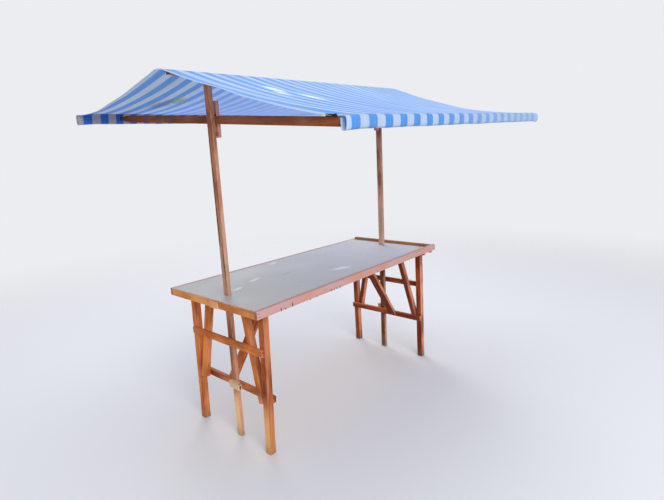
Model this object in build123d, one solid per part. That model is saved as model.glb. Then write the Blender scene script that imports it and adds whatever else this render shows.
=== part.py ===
from build123d import *
import math
import os

# Open wooden market stall: a plank table on two trestles, two masts that stand on the
# ground and pass up through the table, and a striped cloth roof on three poles.
# Millimetres. X runs along the table, -Y is the customers' side, +Z is up.
# "Left" is the -X end. The right trestle is made like the left one and turned half round.

# Table
table_length = 1645.0
table_width = 740.0
table_height = 810.0
rail_thickness = 22.0
long_rail_depth = 40.0
front_rail_rise = 22.0
top_thickness = 6.0
top_set_back = 6.0
lip_width = 25.0
lip_height = 18.0
lip_end_gap = 10.0
end_block_width = 66.0
end_block_thickness = 8.0
end_block_offset = 40.0
batten_width = 45.0
batten_depth = 25.0

# Trestles
trestle_inset = 92.5
leg_width = 38.0
leg_thickness = 36.0
leg_inset = 40.0
left_trestle_lean = 13.0
right_trestle_lean = 6.0
right_trestle_shift = 8.0
trestle_rail_thickness = 20.0
top_rail_depth = 46.0
top_rail_overhang = 14.0
left_upper_rail_height = 549.0
right_upper_rail_height = 519.0
upper_rail_depth = 34.0
upper_rail_short = 26.0
lower_rail_height = 280.0
lower_rail_depth = 35.0
diagonal_width = 32.0
diagonal_head = 140.0
right_front_diagonal_head = 104.0
diagonal_foot_height = 275.0
brace_width = 58.0
brace_thickness = 20.0
left_brace_offset = 54.0
right_brace_offset = 76.0
brace_angle = 35.0

# Masts
mast_width = 38.0
mast_thickness = 20.0
mast_offset = 20.0
mast_slot_clearance = 3.0
mast_block_length = 79.0
mast_block_thickness = 22.0
mast_block_height = 38.0
mast_block_over_rail = 18.0

# Roof frame
roof_rise = 27.0
front_eave_rise = 45.0
ridge_height = 1903.0
front_eave_drop = 286.0
back_eave_drop = 135.0
ridge_pole_left_overhang = 186.0
ridge_pole_right_overhang = 120.0
ridge_pole_width = 36.0
ridge_pole_depth = 16.0
crossbar_thickness = 20.0
crossbar_depth = 38.0
crossbar_front_reach = 812.0
crossbar_back_reach = 925.0
crossbar_tip_length = 100.0
crossbar_tip_depth = 12.0
cleat_width = 30.0
cleat_thickness = 20.0
cleat_length = 172.0
cleat_offset = 12.0
cleat_below_crossbar = 64.0
pin_diameter = 8.0
pin_clearance = 0.3
pin_proud = 3.0
eave_pole_diameter = 26.0
eave_pole_inset = 110.0

# Cloth roof
cloth_thickness = 2.5
cloth_left_overhang = 57.0
cloth_right_overhang = 28.0
cloth_front_skew = 264.0
cloth_back_skew = 10.0
cloth_front_width = 2140.0
cloth_back_width = 1800.0
cloth_left_sag = 25.0
cloth_right_sag = 45.0
sleeve_height = 58.0
sleeve_below_crossbar = 2.0
cloth_gap = 0.3
cloth_end_taper = 0.6
cloth_steps = 4
ridge_strip_margin = 1.5

# Worked out from the sizes above
top_underside = table_height - top_thickness
rail_underside = table_height - long_rail_depth
half_length = table_length / 2
half_width = table_width / 2
inner_half_width = half_width - rail_thickness
trestle_x = half_length - trestle_inset
leg_outer_x = trestle_x + leg_thickness / 2
leg_inner_x = trestle_x - leg_thickness / 2
leg_outer_y = inner_half_width - leg_inset
leg_inner_y = leg_outer_y - leg_width
mast_inner_x = leg_inner_x
mast_outer_x = mast_inner_x + mast_thickness
mast_x = (mast_inner_x + mast_outer_x) / 2
crossbar_inner_x = mast_inner_x - crossbar_thickness
cleat_inner_x = crossbar_inner_x - cleat_thickness
brace_start_x = leg_inner_x - trestle_rail_thickness
lower_rail_top = lower_rail_height + lower_rail_depth
batten_underside = top_underside - batten_depth
ridge_pole_left = mast_x + ridge_pole_left_overhang
ridge_pole_right = mast_x + ridge_pole_right_overhang
cloth_ridge_left = ridge_pole_left + cloth_left_overhang
cloth_ridge_width = cloth_ridge_left + ridge_pole_right + cloth_right_overhang
crossbar_front_height = ridge_height - front_eave_drop
crossbar_back_height = ridge_height - back_eave_drop
crossbar_run = crossbar_front_reach + crossbar_back_reach
sleeve_bore = eave_pole_diameter + 2 * cloth_gap
sleeve_depth = sleeve_bore + 2 * cloth_thickness
front_eave_y = -(crossbar_front_reach + cloth_gap + sleeve_depth / 2)
back_eave_y = crossbar_back_reach + cloth_gap + sleeve_depth / 2
strip_y = ridge_pole_width / 2 + ridge_strip_margin


def rise(x, total=roof_rise):
    """How much a line gains from the left mast, if it gains the total at the right mast."""
    return total * (x + mast_x) / (2 * mast_x)


def block(x0, x1, y0, y1, z0, z1):
    """A sawn piece between six planes, given in any order."""
    size = (abs(x1 - x0), abs(y1 - y0), abs(z1 - z0))
    middle = Pos((x0 + x1) / 2, (y0 + y1) / 2, (z0 + z1) / 2)
    return middle * Box(*size)


def profile_across(points, x0, x1):
    """A board whose outline (y, z) is sawn out and whose thickness lies along X."""
    outline = Plane.YZ * make_face(Polyline(*points, close=True))
    return Pos(min(x0, x1), 0, 0) * extrude(outline, amount=abs(x1 - x0), dir=(1, 0, 0))


def profile_along(points, y0, y1):
    """A board whose outline (x, z) is sawn out and whose thickness lies along Y."""
    outline = Plane.XZ * make_face(Polyline(*points, close=True))
    return Pos(0, min(y0, y1), 0) * extrude(outline, amount=abs(y1 - y0), dir=(0, 1, 0))


def half_turn(shape):
    return Rot(0, 0, 180) * shape


def table_pieces():
    lip_inner_x = half_length - lip_width
    lip_y = inner_half_width - lip_end_gap
    sheet = block(
        -half_length + top_set_back, lip_inner_x,
        -inner_half_width, inner_half_width, top_underside, table_height,
    )
    for side in (-1, 1):
        slot = block(
            side * (mast_inner_x - mast_slot_clearance),
            side * (mast_outer_x + mast_slot_clearance),
            side * mast_offset - mast_width / 2 - mast_slot_clearance,
            side * mast_offset + mast_width / 2 + mast_slot_clearance,
            top_underside - top_thickness, table_height + top_thickness,
        )
        sheet -= slot
    pieces = {"table_top_sheet": sheet}
    for name, side, gain in (("front", -1, front_rail_rise), ("back", 1, 0)):
        outline = [
            (-half_length, rail_underside),
            (half_length, rail_underside + gain),
            (half_length, table_height + gain),
            (-half_length, table_height),
        ]
        pieces[f"{name}_table_rail"] = profile_along(
            outline, side * inner_half_width, side * half_width
        )
    for name, side in (("left", -1), ("right", 1)):
        pieces[f"{name}_end_rail"] = block(
            side * (half_length - rail_thickness), side * half_length,
            -inner_half_width, inner_half_width, rail_underside, top_underside,
        )
        pieces[f"{name}_cross_batten"] = block(
            side * (batten_x() - batten_width / 2), side * (batten_x() + batten_width / 2),
            -inner_half_width, inner_half_width, batten_underside, top_underside,
        )
    pieces["right_end_lip"] = block(
        lip_inner_x, half_length, -lip_y, lip_y,
        top_underside, table_height + lip_height,
    )
    pieces["left_end_block"] = block(
        -half_length - end_block_thickness, -half_length,
        -end_block_offset - end_block_width / 2, -end_block_offset + end_block_width / 2,
        rail_underside, top_underside,
    )
    return pieces


def brace_face_x(height):
    """How far out the brace's outer face stands at a height, on the +X side."""
    return brace_start_x - (height - lower_rail_top) * math.tan(math.radians(brace_angle))


def brace_level():
    """Length of the brace's level cut."""
    return brace_thickness / math.cos(math.radians(brace_angle))


def batten_x():
    """The batten is centred over the level cut at the brace's head."""
    return brace_face_x(batten_underside) - brace_level() / 2


def leaning(points, lean):
    """Points (y, z) of a trestle that leans: feet back by the lean, head forward by it."""
    return [(y + lean * (1 - 2 * z / top_underside), z) for y, z in points]


def diagonal(side, head_y, lean):
    """One slanting strut in the plane of the legs, level at its head."""
    foot_y = leg_inner_y - diagonal_width / 2
    drop = top_underside - diagonal_foot_height
    angle = math.atan2(foot_y - head_y, drop)
    level = diagonal_width / 2 / math.cos(angle)
    end_y = diagonal_width / 2 * math.cos(angle)
    end_z = diagonal_width / 2 * math.sin(angle)
    points = [
        (side * (head_y - level), top_underside),
        (side * (head_y + level), top_underside),
        (side * (foot_y + end_y), diagonal_foot_height + end_z),
        (side * (foot_y - end_y), diagonal_foot_height - end_z),
    ]
    return profile_across(leaning(points, lean), -leg_outer_x, -leg_inner_x)


def brace(offset):
    """Slanting board from the lower rail's inner face up to the batten."""
    level = brace_level()
    plumb = brace_thickness / math.sin(math.radians(brace_angle))
    head_x = brace_face_x(batten_underside)
    points = [
        (-brace_start_x, lower_rail_top),
        (-head_x, batten_underside),
        (-(head_x - level), batten_underside),
        (-brace_start_x, lower_rail_top - plumb),
    ]
    return profile_along(points, offset - brace_width / 2, offset + brace_width / 2)


def board_outline(y0, y1, z0, z1):
    """Outline (y, z) of a board that stands or lies square."""
    return [(y0, z0), (y1, z0), (y1, z1), (y0, z1)]


def trestle_pieces(words, heads, upper_height, brace_offset, lean):
    """A trestle at the left end; words and heads are for its -Y half, then its +Y half."""
    outer_board = (-leg_outer_x - trestle_rail_thickness, -leg_outer_x)
    inner_board = (-leg_inner_x, -leg_inner_x + trestle_rail_thickness)
    leg_board = (-leg_outer_x, -leg_inner_x)
    pieces = {}
    for word, head_y, side in zip(words, heads, (-1, 1)):
        outline = board_outline(side * leg_inner_y, side * leg_outer_y, 0, top_underside)
        pieces[f"{word}_leg"] = profile_across(leaning(outline, lean), *leg_board)
        pieces[f"{word}_diagonal"] = diagonal(side, head_y, lean)
    top_y = leg_outer_y + top_rail_overhang
    rails = {
        "top_rail": (outer_board, board_outline(
            -top_y, top_y, top_underside - top_rail_depth, top_underside
        )),
        "upper_rail": (outer_board, board_outline(
            -leg_outer_y, leg_outer_y - upper_rail_short,
            upper_height, upper_height + upper_rail_depth,
        )),
        "lower_rail": (inner_board, board_outline(
            -leg_outer_y, leg_outer_y, lower_rail_height, lower_rail_top
        )),
    }
    for word, (board, outline) in rails.items():
        pieces[word] = profile_across(leaning(outline, lean), *board)
    pieces["brace"] = brace(brace_offset)
    return pieces


def crossbar_height(y, x):
    """Height of a crossbar's middle line, straight from its front end to its back end."""
    front = crossbar_front_height + rise(x, front_eave_rise)
    back = crossbar_back_height + rise(x)
    return front + (back - front) * (y + crossbar_front_reach) / crossbar_run


def pole_underside(x):
    return ridge_height + rise(x) - cloth_thickness - cloth_gap - ridge_pole_depth


def pin_height(side):
    """The steel pin passes just above the crossbar, through mast and cleat."""
    edge = crossbar_height(side * mast_offset + pin_diameter / 2, side * mast_x) + crossbar_depth / 2
    return edge + pin_diameter / 2 + pin_clearance


def pin_hole(side):
    radius = pin_diameter / 2 + pin_clearance
    middle = Pos(side * crossbar_inner_x, side * mast_offset, pin_height(side))
    return middle * Rot(0, 90, 0) * Cylinder(radius, 4 * mast_thickness + 2 * crossbar_thickness)


def mast_pieces(side):
    """Mast with its block, crossbar, cleat and pin at one end; side is -1 at the left."""
    middle_y = side * mast_offset
    x_in = side * mast_inner_x
    x_out = side * mast_outer_x
    mast = profile_along(
        [(x_in, 0), (x_out, 0), (x_out, pole_underside(x_out)), (x_in, pole_underside(x_in))],
        middle_y - mast_width / 2, middle_y + mast_width / 2,
    )
    half = crossbar_depth / 2
    tip = crossbar_tip_depth / 2
    front_y = -crossbar_front_reach
    back_y = crossbar_back_reach
    taper_y = crossbar_back_reach - crossbar_tip_length
    bar_x = side * mast_x
    outline = [
        (front_y, crossbar_height(front_y, bar_x) - half),
        (front_y, crossbar_height(front_y, bar_x) + half),
        (taper_y, crossbar_height(taper_y, bar_x) + half),
        (back_y, crossbar_height(back_y, bar_x) + tip),
        (back_y, crossbar_height(back_y, bar_x) - tip),
        (taper_y, crossbar_height(taper_y, bar_x) - half),
    ]
    crossbar = profile_across(outline, x_in, side * crossbar_inner_x)
    cleat_low = crossbar_height(middle_y, bar_x) - half - cleat_below_crossbar
    cleat = block(
        side * crossbar_inner_x, side * cleat_inner_x,
        side * cleat_offset - cleat_width / 2, side * cleat_offset + cleat_width / 2,
        cleat_low, cleat_low + cleat_length,
    )
    block_start = mast_offset - mast_width / 2
    block_top = lower_rail_top + mast_block_over_rail
    mast_block = block(
        x_out, x_out + side * mast_block_thickness,
        side * block_start, side * (block_start + mast_block_length),
        block_top - mast_block_height, block_top,
    )
    pin_length = mast_outer_x - cleat_inner_x + 2 * pin_proud
    pin_middle = Pos(side * (mast_outer_x + cleat_inner_x) / 2, middle_y, pin_height(side))
    pin = pin_middle * Rot(0, 90, 0) * Cylinder(pin_diameter / 2, pin_length)
    hole = pin_hole(side)
    return {
        "mast": mast - hole,
        "mast_block": mast_block,
        "crossbar": crossbar,
        "mast_cleat": cleat - hole,
        "crossbar_pin": pin,
    }


def eave_share(y):
    """0 at the middle of the ridge and 1 at the eave on y's side."""
    return y / (front_eave_y if y < 0 else back_eave_y)


def cloth_left(y):
    """The cloth is pulled askew, so its left edge is not square to the table."""
    skew = cloth_front_skew if y < 0 else cloth_back_skew
    return -cloth_ridge_left + skew * eave_share(y)


def cloth_width(y):
    """The cloth is drawn together along the ridge and the back, and wide at the front."""
    eave_width = cloth_front_width if y < 0 else cloth_back_width
    return cloth_ridge_width + (eave_width - cloth_ridge_width) * eave_share(y)


def eave_top(x, y):
    """Height of the cloth where it turns over the pole of the eave on y's side."""
    if y < 0:
        height = crossbar_front_height + rise(x, front_eave_rise)
    else:
        height = crossbar_back_height + rise(x)
    return height + sleeve_height / 2 - sleeve_below_crossbar


def cloth_section(y, share):
    """Upright slice of the cloth at y; share is 0 at the ridge strip and 1 at the eave.

    Both faces draw in a little towards the eave, so the slope ends inside the sleeve's wall.
    """
    left = cloth_left(y)
    right = left + cloth_width(y)
    slack = 1 - (2 * share - 1) ** 2
    taper = cloth_end_taper * share
    tops = []
    for x, sag in ((left, cloth_left_sag), (right, cloth_right_sag)):
        ridge = ridge_height + rise(x)
        tops.append((x, y, ridge + (eave_top(x, y) - ridge) * share - sag * slack - taper))
    lows = [(x, y, z - cloth_thickness + 2 * taper) for x, y, z in reversed(tops)]
    return make_face(Polyline(*tops, *lows, close=True))


def eave_way(y):
    """The way an eave runs, rising a little to the right."""
    left = cloth_left(y)
    width = cloth_width(y)
    return Vector(width, 0, eave_top(left + width, y) - eave_top(left, y)).normalized()


def sleeve(y):
    """Hem sleeve round an eave pole: a flattened tube, open at both ends."""
    left = cloth_left(y)
    middle = eave_top(left, y) - sleeve_height / 2
    ring = SlotOverall(sleeve_height, sleeve_depth, rotation=90)
    ring -= SlotOverall(sleeve_height - 2 * cloth_thickness, sleeve_bore, rotation=90)
    face = Pos(left, y, middle) * (Plane.YZ * ring)
    along = eave_way(y)
    return extrude(face, amount=cloth_width(y) / along.X, dir=along)


def cloth_roof():
    strip = loft([cloth_section(-strip_y, 0), cloth_section(strip_y, 0)], ruled=True)
    roof = strip
    for eave_y, start_y in ((front_eave_y, -strip_y), (back_eave_y, strip_y)):
        shares = [k / cloth_steps for k in range(cloth_steps + 1)]
        slices = [cloth_section(start_y + (eave_y - start_y) * s, s) for s in shares]
        roof += loft(slices)
        roof += sleeve(eave_y)
    return roof


def eave_pole(y):
    """Round pole in the top of a hem sleeve, shorter than the sleeve at both ends."""
    left = cloth_left(y) + eave_pole_inset
    radius = eave_pole_diameter / 2
    middle = eave_top(left, y) - cloth_thickness - cloth_gap - radius
    face = Pos(left, y, middle) * (Plane.YZ * Circle(radius))
    along = eave_way(y)
    length = (cloth_width(y) - 2 * eave_pole_inset) / along.X
    return extrude(face, amount=length, dir=along)


def ridge_pole():
    left = -ridge_pole_left
    right = ridge_pole_right
    points = [
        (left, pole_underside(left)),
        (right, pole_underside(right)),
        (right, pole_underside(right) + ridge_pole_depth),
        (left, pole_underside(left) + ridge_pole_depth),
    ]
    return profile_along(points, -ridge_pole_width / 2, ridge_pole_width / 2)


def stall():
    nodes = table_pieces()
    left = trestle_pieces(
        ("front", "back"), (diagonal_head, diagonal_head),
        left_upper_rail_height, left_brace_offset, left_trestle_lean,
    )
    right = trestle_pieces(
        ("back", "front"), (diagonal_head, right_front_diagonal_head),
        right_upper_rail_height, right_brace_offset, right_trestle_lean,
    )
    for name, shape in left.items():
        nodes[f"left_{name}"] = shape
    for name, shape in right.items():
        nodes[f"right_{name}"] = Pos(0, -right_trestle_shift, 0) * half_turn(shape)
    for name, side in (("left", -1), ("right", 1)):
        for piece, shape in mast_pieces(side).items():
            nodes[f"{name}_{piece}"] = shape
    nodes["ridge_pole"] = ridge_pole()
    nodes["front_eave_pole"] = eave_pole(front_eave_y)
    nodes["back_eave_pole"] = eave_pole(back_eave_y)
    nodes["cloth_roof"] = cloth_roof()
    return nodes


# The reference point is on the ground, under the middle of the stall's outer reach.
reach_left = min(cloth_left(y) for y in (front_eave_y, 0, back_eave_y))
reach_right = max(cloth_left(y) + cloth_width(y) for y in (front_eave_y, 0, back_eave_y))
reach_front = front_eave_y - sleeve_depth / 2
reach_back = back_eave_y + sleeve_depth / 2
to_origin = Pos(-(reach_left + reach_right) / 2, -(reach_front + reach_back) / 2, 0)

os.makedirs("parts", exist_ok=True)
for node, solid in stall().items():
    export_step(to_origin * solid, f"parts/{node}.step")
print("stall pieces written")
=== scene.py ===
# %% [markdown]
# # A wooden market stall
# The real stall is sawn laths and posts that somebody nailed together by hand, a thin
# painted board for a top, and one length of striped woven cloth thrown over three poles.
# The sawn shapes are already made to size. This lesson dresses them: it softens the sawn
# edges, grows grain in every board, knocks in the nails and hangs the cloth.

# %% Load the sawn pieces
import math
import random

import bmesh
import bpy
from mathutils import Matrix, Vector, noise


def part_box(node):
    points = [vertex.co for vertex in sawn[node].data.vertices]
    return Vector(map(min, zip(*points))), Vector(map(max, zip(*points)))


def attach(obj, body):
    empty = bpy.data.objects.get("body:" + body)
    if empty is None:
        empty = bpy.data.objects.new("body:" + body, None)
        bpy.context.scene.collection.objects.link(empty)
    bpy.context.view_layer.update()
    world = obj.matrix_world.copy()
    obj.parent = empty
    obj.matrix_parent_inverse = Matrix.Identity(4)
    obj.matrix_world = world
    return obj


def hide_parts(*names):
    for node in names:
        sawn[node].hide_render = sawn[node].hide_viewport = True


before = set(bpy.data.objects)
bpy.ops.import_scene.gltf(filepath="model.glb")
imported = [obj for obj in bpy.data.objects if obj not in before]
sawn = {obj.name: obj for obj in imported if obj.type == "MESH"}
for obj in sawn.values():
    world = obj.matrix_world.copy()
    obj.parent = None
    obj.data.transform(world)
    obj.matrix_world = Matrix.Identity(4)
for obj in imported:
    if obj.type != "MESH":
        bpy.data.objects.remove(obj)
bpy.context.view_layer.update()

# %% [markdown]
# ## Where things are
# Everything is placed from the pieces that are already there. The middle of the table is
# the easiest point to measure from, so it is worked out first from the two long rails.
# Colours are written as a painter mixes them, from 0 to 255, and turned into the linear
# values that the shaders want. Standard is the view transform that keeps them plain.

# %% Middle of the table, and a colour helper
bpy.context.scene.view_settings.view_transform = "Standard"


def centre_of(*names):
    corners = [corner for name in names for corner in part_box(name)]
    low = [min(c[k] for c in corners) for k in range(3)]
    high = [max(c[k] for c in corners) for k in range(3)]
    return Vector([(a + b) / 2 for a, b in zip(low, high)])


def mixed(red, green, blue):
    """A screen colour from 0 to 255, as linear values with full cover."""
    def linear(value):
        share = value / 255
        return share / 12.92 if share < 0.04045 else ((share + 0.055) / 1.055) ** 2.4
    return (linear(red), linear(green), linear(blue), 1.0)


table_middle = centre_of("front_table_rail", "back_table_rail")
table_middle.z = 0.0
print("middle of the table", [round(v, 4) for v in table_middle])

# %% [markdown]
# ## Small tools for shader trees
# A node tree gets long when every node takes four lines. These helpers add a node, set or
# link its inputs, and hand back the socket that is wanted next. They could be left out and
# the trees built by hand in the editor, but in a script they keep each recipe readable.

# %% Shader tree helpers
def feed(tree, socket, value):
    """Link what comes from another node, or set a plain value on the socket itself."""
    if isinstance(value, bpy.types.NodeSocket):
        tree.links.new(value, socket)
    else:
        socket.default_value = value


def fill(tree, node, **inputs):
    """Feed a node's inputs by name, with spaces written as underscores."""
    for label, value in inputs.items():
        feed(tree, node.inputs[label.replace("_", " ")], value)
    return node


def put(tree, kind, out=0, **inputs):
    """Add a node, fill it and return an output."""
    return fill(tree, tree.nodes.new(kind), **inputs).outputs[out]


def worked(tree, kind, values, **ways):
    """A node that takes values in order, in one of its ways of working."""
    made = tree.nodes.new(kind)
    for label, way in ways.items():
        setattr(made, label, way)
    for place, value in enumerate(values):
        feed(tree, made.inputs[place], value)
    return made.outputs


def sums(tree, operation, *values, clamp=False):
    """A Math node on one, two or three values."""
    return worked(tree, "ShaderNodeMath", values, operation=operation, use_clamp=clamp)[0]


def times(tree, first, second):
    return sums(tree, "MULTIPLY", first, second)


def vectors(tree, operation, *values):
    """A Vector Math node: LENGTH answers with a number, the others with a vector."""
    made = worked(tree, "ShaderNodeVectorMath", values, operation=operation)
    return made["Value" if operation == "LENGTH" else "Vector"]


def parts_of(tree, vector):
    """The x, y and z of a vector."""
    return put(tree, "ShaderNodeSeparateXYZ", Vector=vector).node.outputs


def remap(tree, value, low, high, new_low=0.0, new_high=1.0):
    """Bring a value from one range to another, eased at both ends."""
    numbers = (value, low, high, new_low, new_high)
    return worked(tree, "ShaderNodeMapRange", numbers, interpolation_type="SMOOTHSTEP")[0]


def cloudy(tree, vector, scale, detail=2.0, roughness=0.5, out=0):
    """Plain noise, from about 0.25 to 0.75; three scales stretch it along the axes."""
    if isinstance(scale, tuple):
        vector, scale = vectors(tree, "MULTIPLY", vector, scale), 1.0
    return put(tree, "ShaderNodeTexNoise", out, Vector=vector, Scale=scale,
               Detail=detail, Roughness=roughness)


def place_on(tree):
    """Place on the piece, in metres."""
    return put(tree, "ShaderNodeTexCoord", 3)


def painted_value(tree, name, out="Fac"):
    """Read a value that was painted on the mesh."""
    made = tree.nodes.new("ShaderNodeAttribute")
    made.attribute_name = name
    return made.outputs[out]


print("shader helpers ready")

# %% [markdown]
# ## Coats of colour, groups and shaders
# Most looks are built like paint: a ground colour, and thin coats over it, each laid on only
# where its mask says. Masks that several materials share live in node groups. A material
# keeps its own shader, which takes the last colour, a roughness and a height for its bumps.

# %% Colour, group and material helpers
NUMBER, VECTOR = "NodeSocketFloat", "NodeSocketVector"


def blend_colour(tree, share, first, second, way="MIX"):
    made = tree.nodes.new("ShaderNodeMix")
    made.data_type = "RGBA"
    made.blend_type = way
    made.clamp_factor = True
    for place, value in ((0, share), (6, first), (7, second)):
        feed(tree, made.inputs[place], value)
    return made.outputs[2]


def coats(tree, colour, layers):
    """Lay tints over a colour one after another; a layer is (mask, strength, tint)."""
    for mask, strength, tint in layers:
        colour = blend_colour(tree, times(tree, mask, strength), colour, tint)
    return colour


def new_group(name, inputs, outputs):
    """A node group with named sockets: inputs are (label, kind, value)."""
    tree = bpy.data.node_groups.new(name, "ShaderNodeTree")
    for label, kind, value in inputs:
        socket = tree.interface.new_socket(label, in_out="INPUT", socket_type=kind)
        if value is not None:
            socket.default_value = value
    for label in outputs:
        tree.interface.new_socket(label, in_out="OUTPUT", socket_type=NUMBER)
    start = tree.nodes.new("NodeGroupInput").outputs
    finish = tree.nodes.new("NodeGroupOutput")
    return tree, start, finish


def place_group(tree, group, **inputs):
    """Put a group in a material, fill it and return all its outputs."""
    made = tree.nodes.new("ShaderNodeGroup")
    made.node_tree = group
    return fill(tree, made, **inputs).outputs


def new_material(name):
    """A material, its node tree and its Principled shader."""
    material = bpy.data.materials.new(name)
    material.use_nodes = True
    tree = material.node_tree
    return material, tree, tree.nodes["Principled BSDF"]


def raise_surface(tree, shader, height, strength, distance):
    """Give a shader a Bump node that reads a height."""
    bump = put(tree, "ShaderNodeBump", Strength=strength, Distance=distance, Height=height)
    fill(tree, shader, Normal=bump)
    return bump


def two_shaders(tree, share, first, second):
    return worked(tree, "ShaderNodeMixShader", (share, first, second))[0]


print("colour, group and material helpers ready")

# %% [markdown]
# ## Grain that runs through the whole board
# A tree grows in rings, and a saw cuts across them: long stripes on the faces, arcs on the
# ends. The way to get both at once is a solid texture, worked out from each board's own
# length, width and thickness, and not wrapped round it as a picture. The group gives four
# masks: dark ring lines, fine fibres, knots, and a slow change of tone from board to board.

# %% Node group: timber figure
def timber_figure():
    tree, start, finish = new_group(
        "timber_figure",
        [("Board", VECTOR, None), ("Ring Width", NUMBER, 0.006), ("Waver", NUMBER, 0.012)],
        ["Rings", "Fibre", "Knots", "Tone"],
    )
    board, waver = start["Board"], start["Waver"]
    slow = cloudy(tree, board, (1.6, 9.0, 9.0), out=1)
    reach = put(tree, "ShaderNodeCombineXYZ", X=waver, Y=waver, Z=waver)
    swayed = vectors(tree, "MULTIPLY_ADD", slow, reach, board)
    long_cells = vectors(tree, "MULTIPLY", swayed, (2.6, 17.0, 17.0))
    cells = put(tree, "ShaderNodeTexVoronoi", Vector=long_cells, Scale=1.0).node.outputs
    chosen = put(tree, "ShaderNodeSeparateColor", Color=cells["Color"])
    rare = sums(tree, "GREATER_THAN", chosen, 0.66)
    knot = times(tree, remap(tree, cells["Distance"], 0.30, 0.05), rare)
    from_heart = vectors(tree, "LENGTH", vectors(tree, "MULTIPLY", swayed, (0.0, 1.0, 1.0)))
    count = sums(tree, "DIVIDE", from_heart, start["Ring Width"])
    ring = sums(tree, "FRACT", sums(tree, "MULTIPLY_ADD", knot, 1.6, count))
    fibre = cloudy(tree, swayed, (9.0, 520.0, 520.0), 3.0, 0.6)
    tone = cloudy(tree, board, (4.5, 15.0, 15.0), 3.0)
    fill(tree, finish,
         Rings=times(tree, remap(tree, ring, 0.25, 0.85), remap(tree, ring, 1.0, 0.88)),
         Fibre=remap(tree, fibre, 0.3, 0.7),
         Knots=times(tree, remap(tree, cells["Distance"], 0.13, 0.06), rare),
         Tone=remap(tree, tone, 0.36, 0.64))
    return tree


figure = timber_figure()
print(figure.name, "gives", [s.name for s in figure.interface.items_tree if s.in_out == "OUTPUT"])

# %% [markdown]
# ## The sawn surface
# These laths came straight from a saw bench and were never planed. The blade leaves faint
# ridges across the board every few millimetres, and torn fibres stand up along it. Modelled
# ridges would need millions of faces, so they are a height for a Bump node. The same group
# gives a wear mask from the softened edges, where hands and knocks have rubbed the wood pale.

# %% Node group: saw marks and rubbed edges
def sawn_face():
    tree, start, finish = new_group(
        "sawn_face",
        [("Board", VECTOR, None), ("Arris", NUMBER, 0.0), ("Pitch", NUMBER, 0.0045)],
        ["Height", "Wear"],
    )
    board = start["Board"]
    skip = cloudy(tree, board, (12.0, 40.0, 40.0))
    turns = sums(tree, "DIVIDE", parts_of(tree, board)[0], start["Pitch"])
    wobble = sums(tree, "MULTIPLY_ADD", skip, 3.0, turns)
    ridge = sums(tree, "SINE", times(tree, wobble, 2 * math.pi))
    patchy = remap(tree, cloudy(tree, board, (3.0, 15.0, 15.0)), 0.42, 0.62)
    fuzz = cloudy(tree, board, (30.0, 900.0, 900.0), 3.0, 0.65)
    rubbed = cloudy(tree, board, (25.0, 120.0, 120.0), 3.0, 0.6)
    fill(tree, finish,
         Height=sums(tree, "MULTIPLY_ADD", times(tree, ridge, patchy), 0.16, fuzz),
         Wear=times(tree, start["Arris"], remap(tree, rubbed, 0.35, 0.65)))
    return tree


saw_face = sawn_face()
print(saw_face.name, "ready")

# %% [markdown]
# ## Street dirt, painted shade and painted sunlight
# A stall that is carried out every week gets grey at the feet and dusty on top. The group
# reads the height above the ground and a slow noise, and gives one mask for splashed dirt
# low down and one for dry dust. The same height gives a mask of painted shade under the
# table top, where the wood is painted darker and redder, one of painted sunlight that turns
# the left feet yellow, and one for a paler band on the masts just above the table.

# %% Node group: street dirt, painted shade and painted sunlight
top_edge = (0.83, 0.79)
sun_reach = (0.46, 0.26)
grip_reach = (1.50, 1.05)
no_splash = -1.0


def street_dirt_and_light():
    tree, start, finish = new_group(
        "street_dirt_and_light",
        [("Place", VECTOR, None), ("Splash Height", NUMBER, 0.10)],
        ["Splash", "Dust", "Sheltered", "Sunned", "Gripped"],
    )
    place = start["Place"]
    x, y, height = parts_of(tree, place)
    ragged = cloudy(tree, place, 38.0, 4.0, 0.65)
    edge = sums(tree, "MULTIPLY_ADD", ragged, 0.12, sums(tree, "SUBTRACT", height, 0.06))
    uneven = sums(tree, "MULTIPLY_ADD", cloudy(tree, place, 5.0), 0.20, height)
    # painted sunlight: a patch low down on the left, at the front
    at_left = times(tree, remap(tree, uneven, *sun_reach), remap(tree, x, 0.1, -0.3))
    sunlit = times(tree, at_left, remap(tree, y, 0.12, 0.0))
    below = remap(tree, height, *top_edge)
    above = sums(tree, "SUBTRACT", 1.0, below)
    fill(tree, finish,
         Splash=remap(tree, edge, start["Splash Height"], 0.0),
         Dust=remap(tree, cloudy(tree, place, 7.0, 5.0, 0.6), 0.45, 0.72),
         # painted shade: darker under the table top, but not where the painted sunlight falls
         Sheltered=times(tree, below, sums(tree, "SUBTRACT", 1.0, sunlit)),
         Sunned=sunlit,
         # a paler band on the masts just above the table top
         Gripped=times(tree, above, remap(tree, uneven, *grip_reach)))
    return tree


dirt_and_light = street_dirt_and_light()
print(dirt_and_light.name, "ready")

# %% [markdown]
# ## Faces in painted light, and single marks
# Wood and cloth get painted light on the faces that look up or out to the street. So one
# group tells which way a face looks: up, or out to the street. Another draws one soft ragged
# spot at a chosen place, for a scuff, a stain, a rubbed patch, a painted glare or a painted
# shadow. Both could be painted by hand, but a named place and size are easier to change later.

# %% Node groups: facing, and one soft spot for wear, painted glare and painted shadow
def facing_masks():
    tree, _, finish = new_group("facing_masks", [], ["Up", "Street"])
    way = parts_of(tree, put(tree, "ShaderNodeNewGeometry", 1))
    fill(tree, finish, Up=remap(tree, way[2], 0.3, 0.95), Street=remap(tree, way[1], -0.3, -0.95))
    return tree


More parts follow.
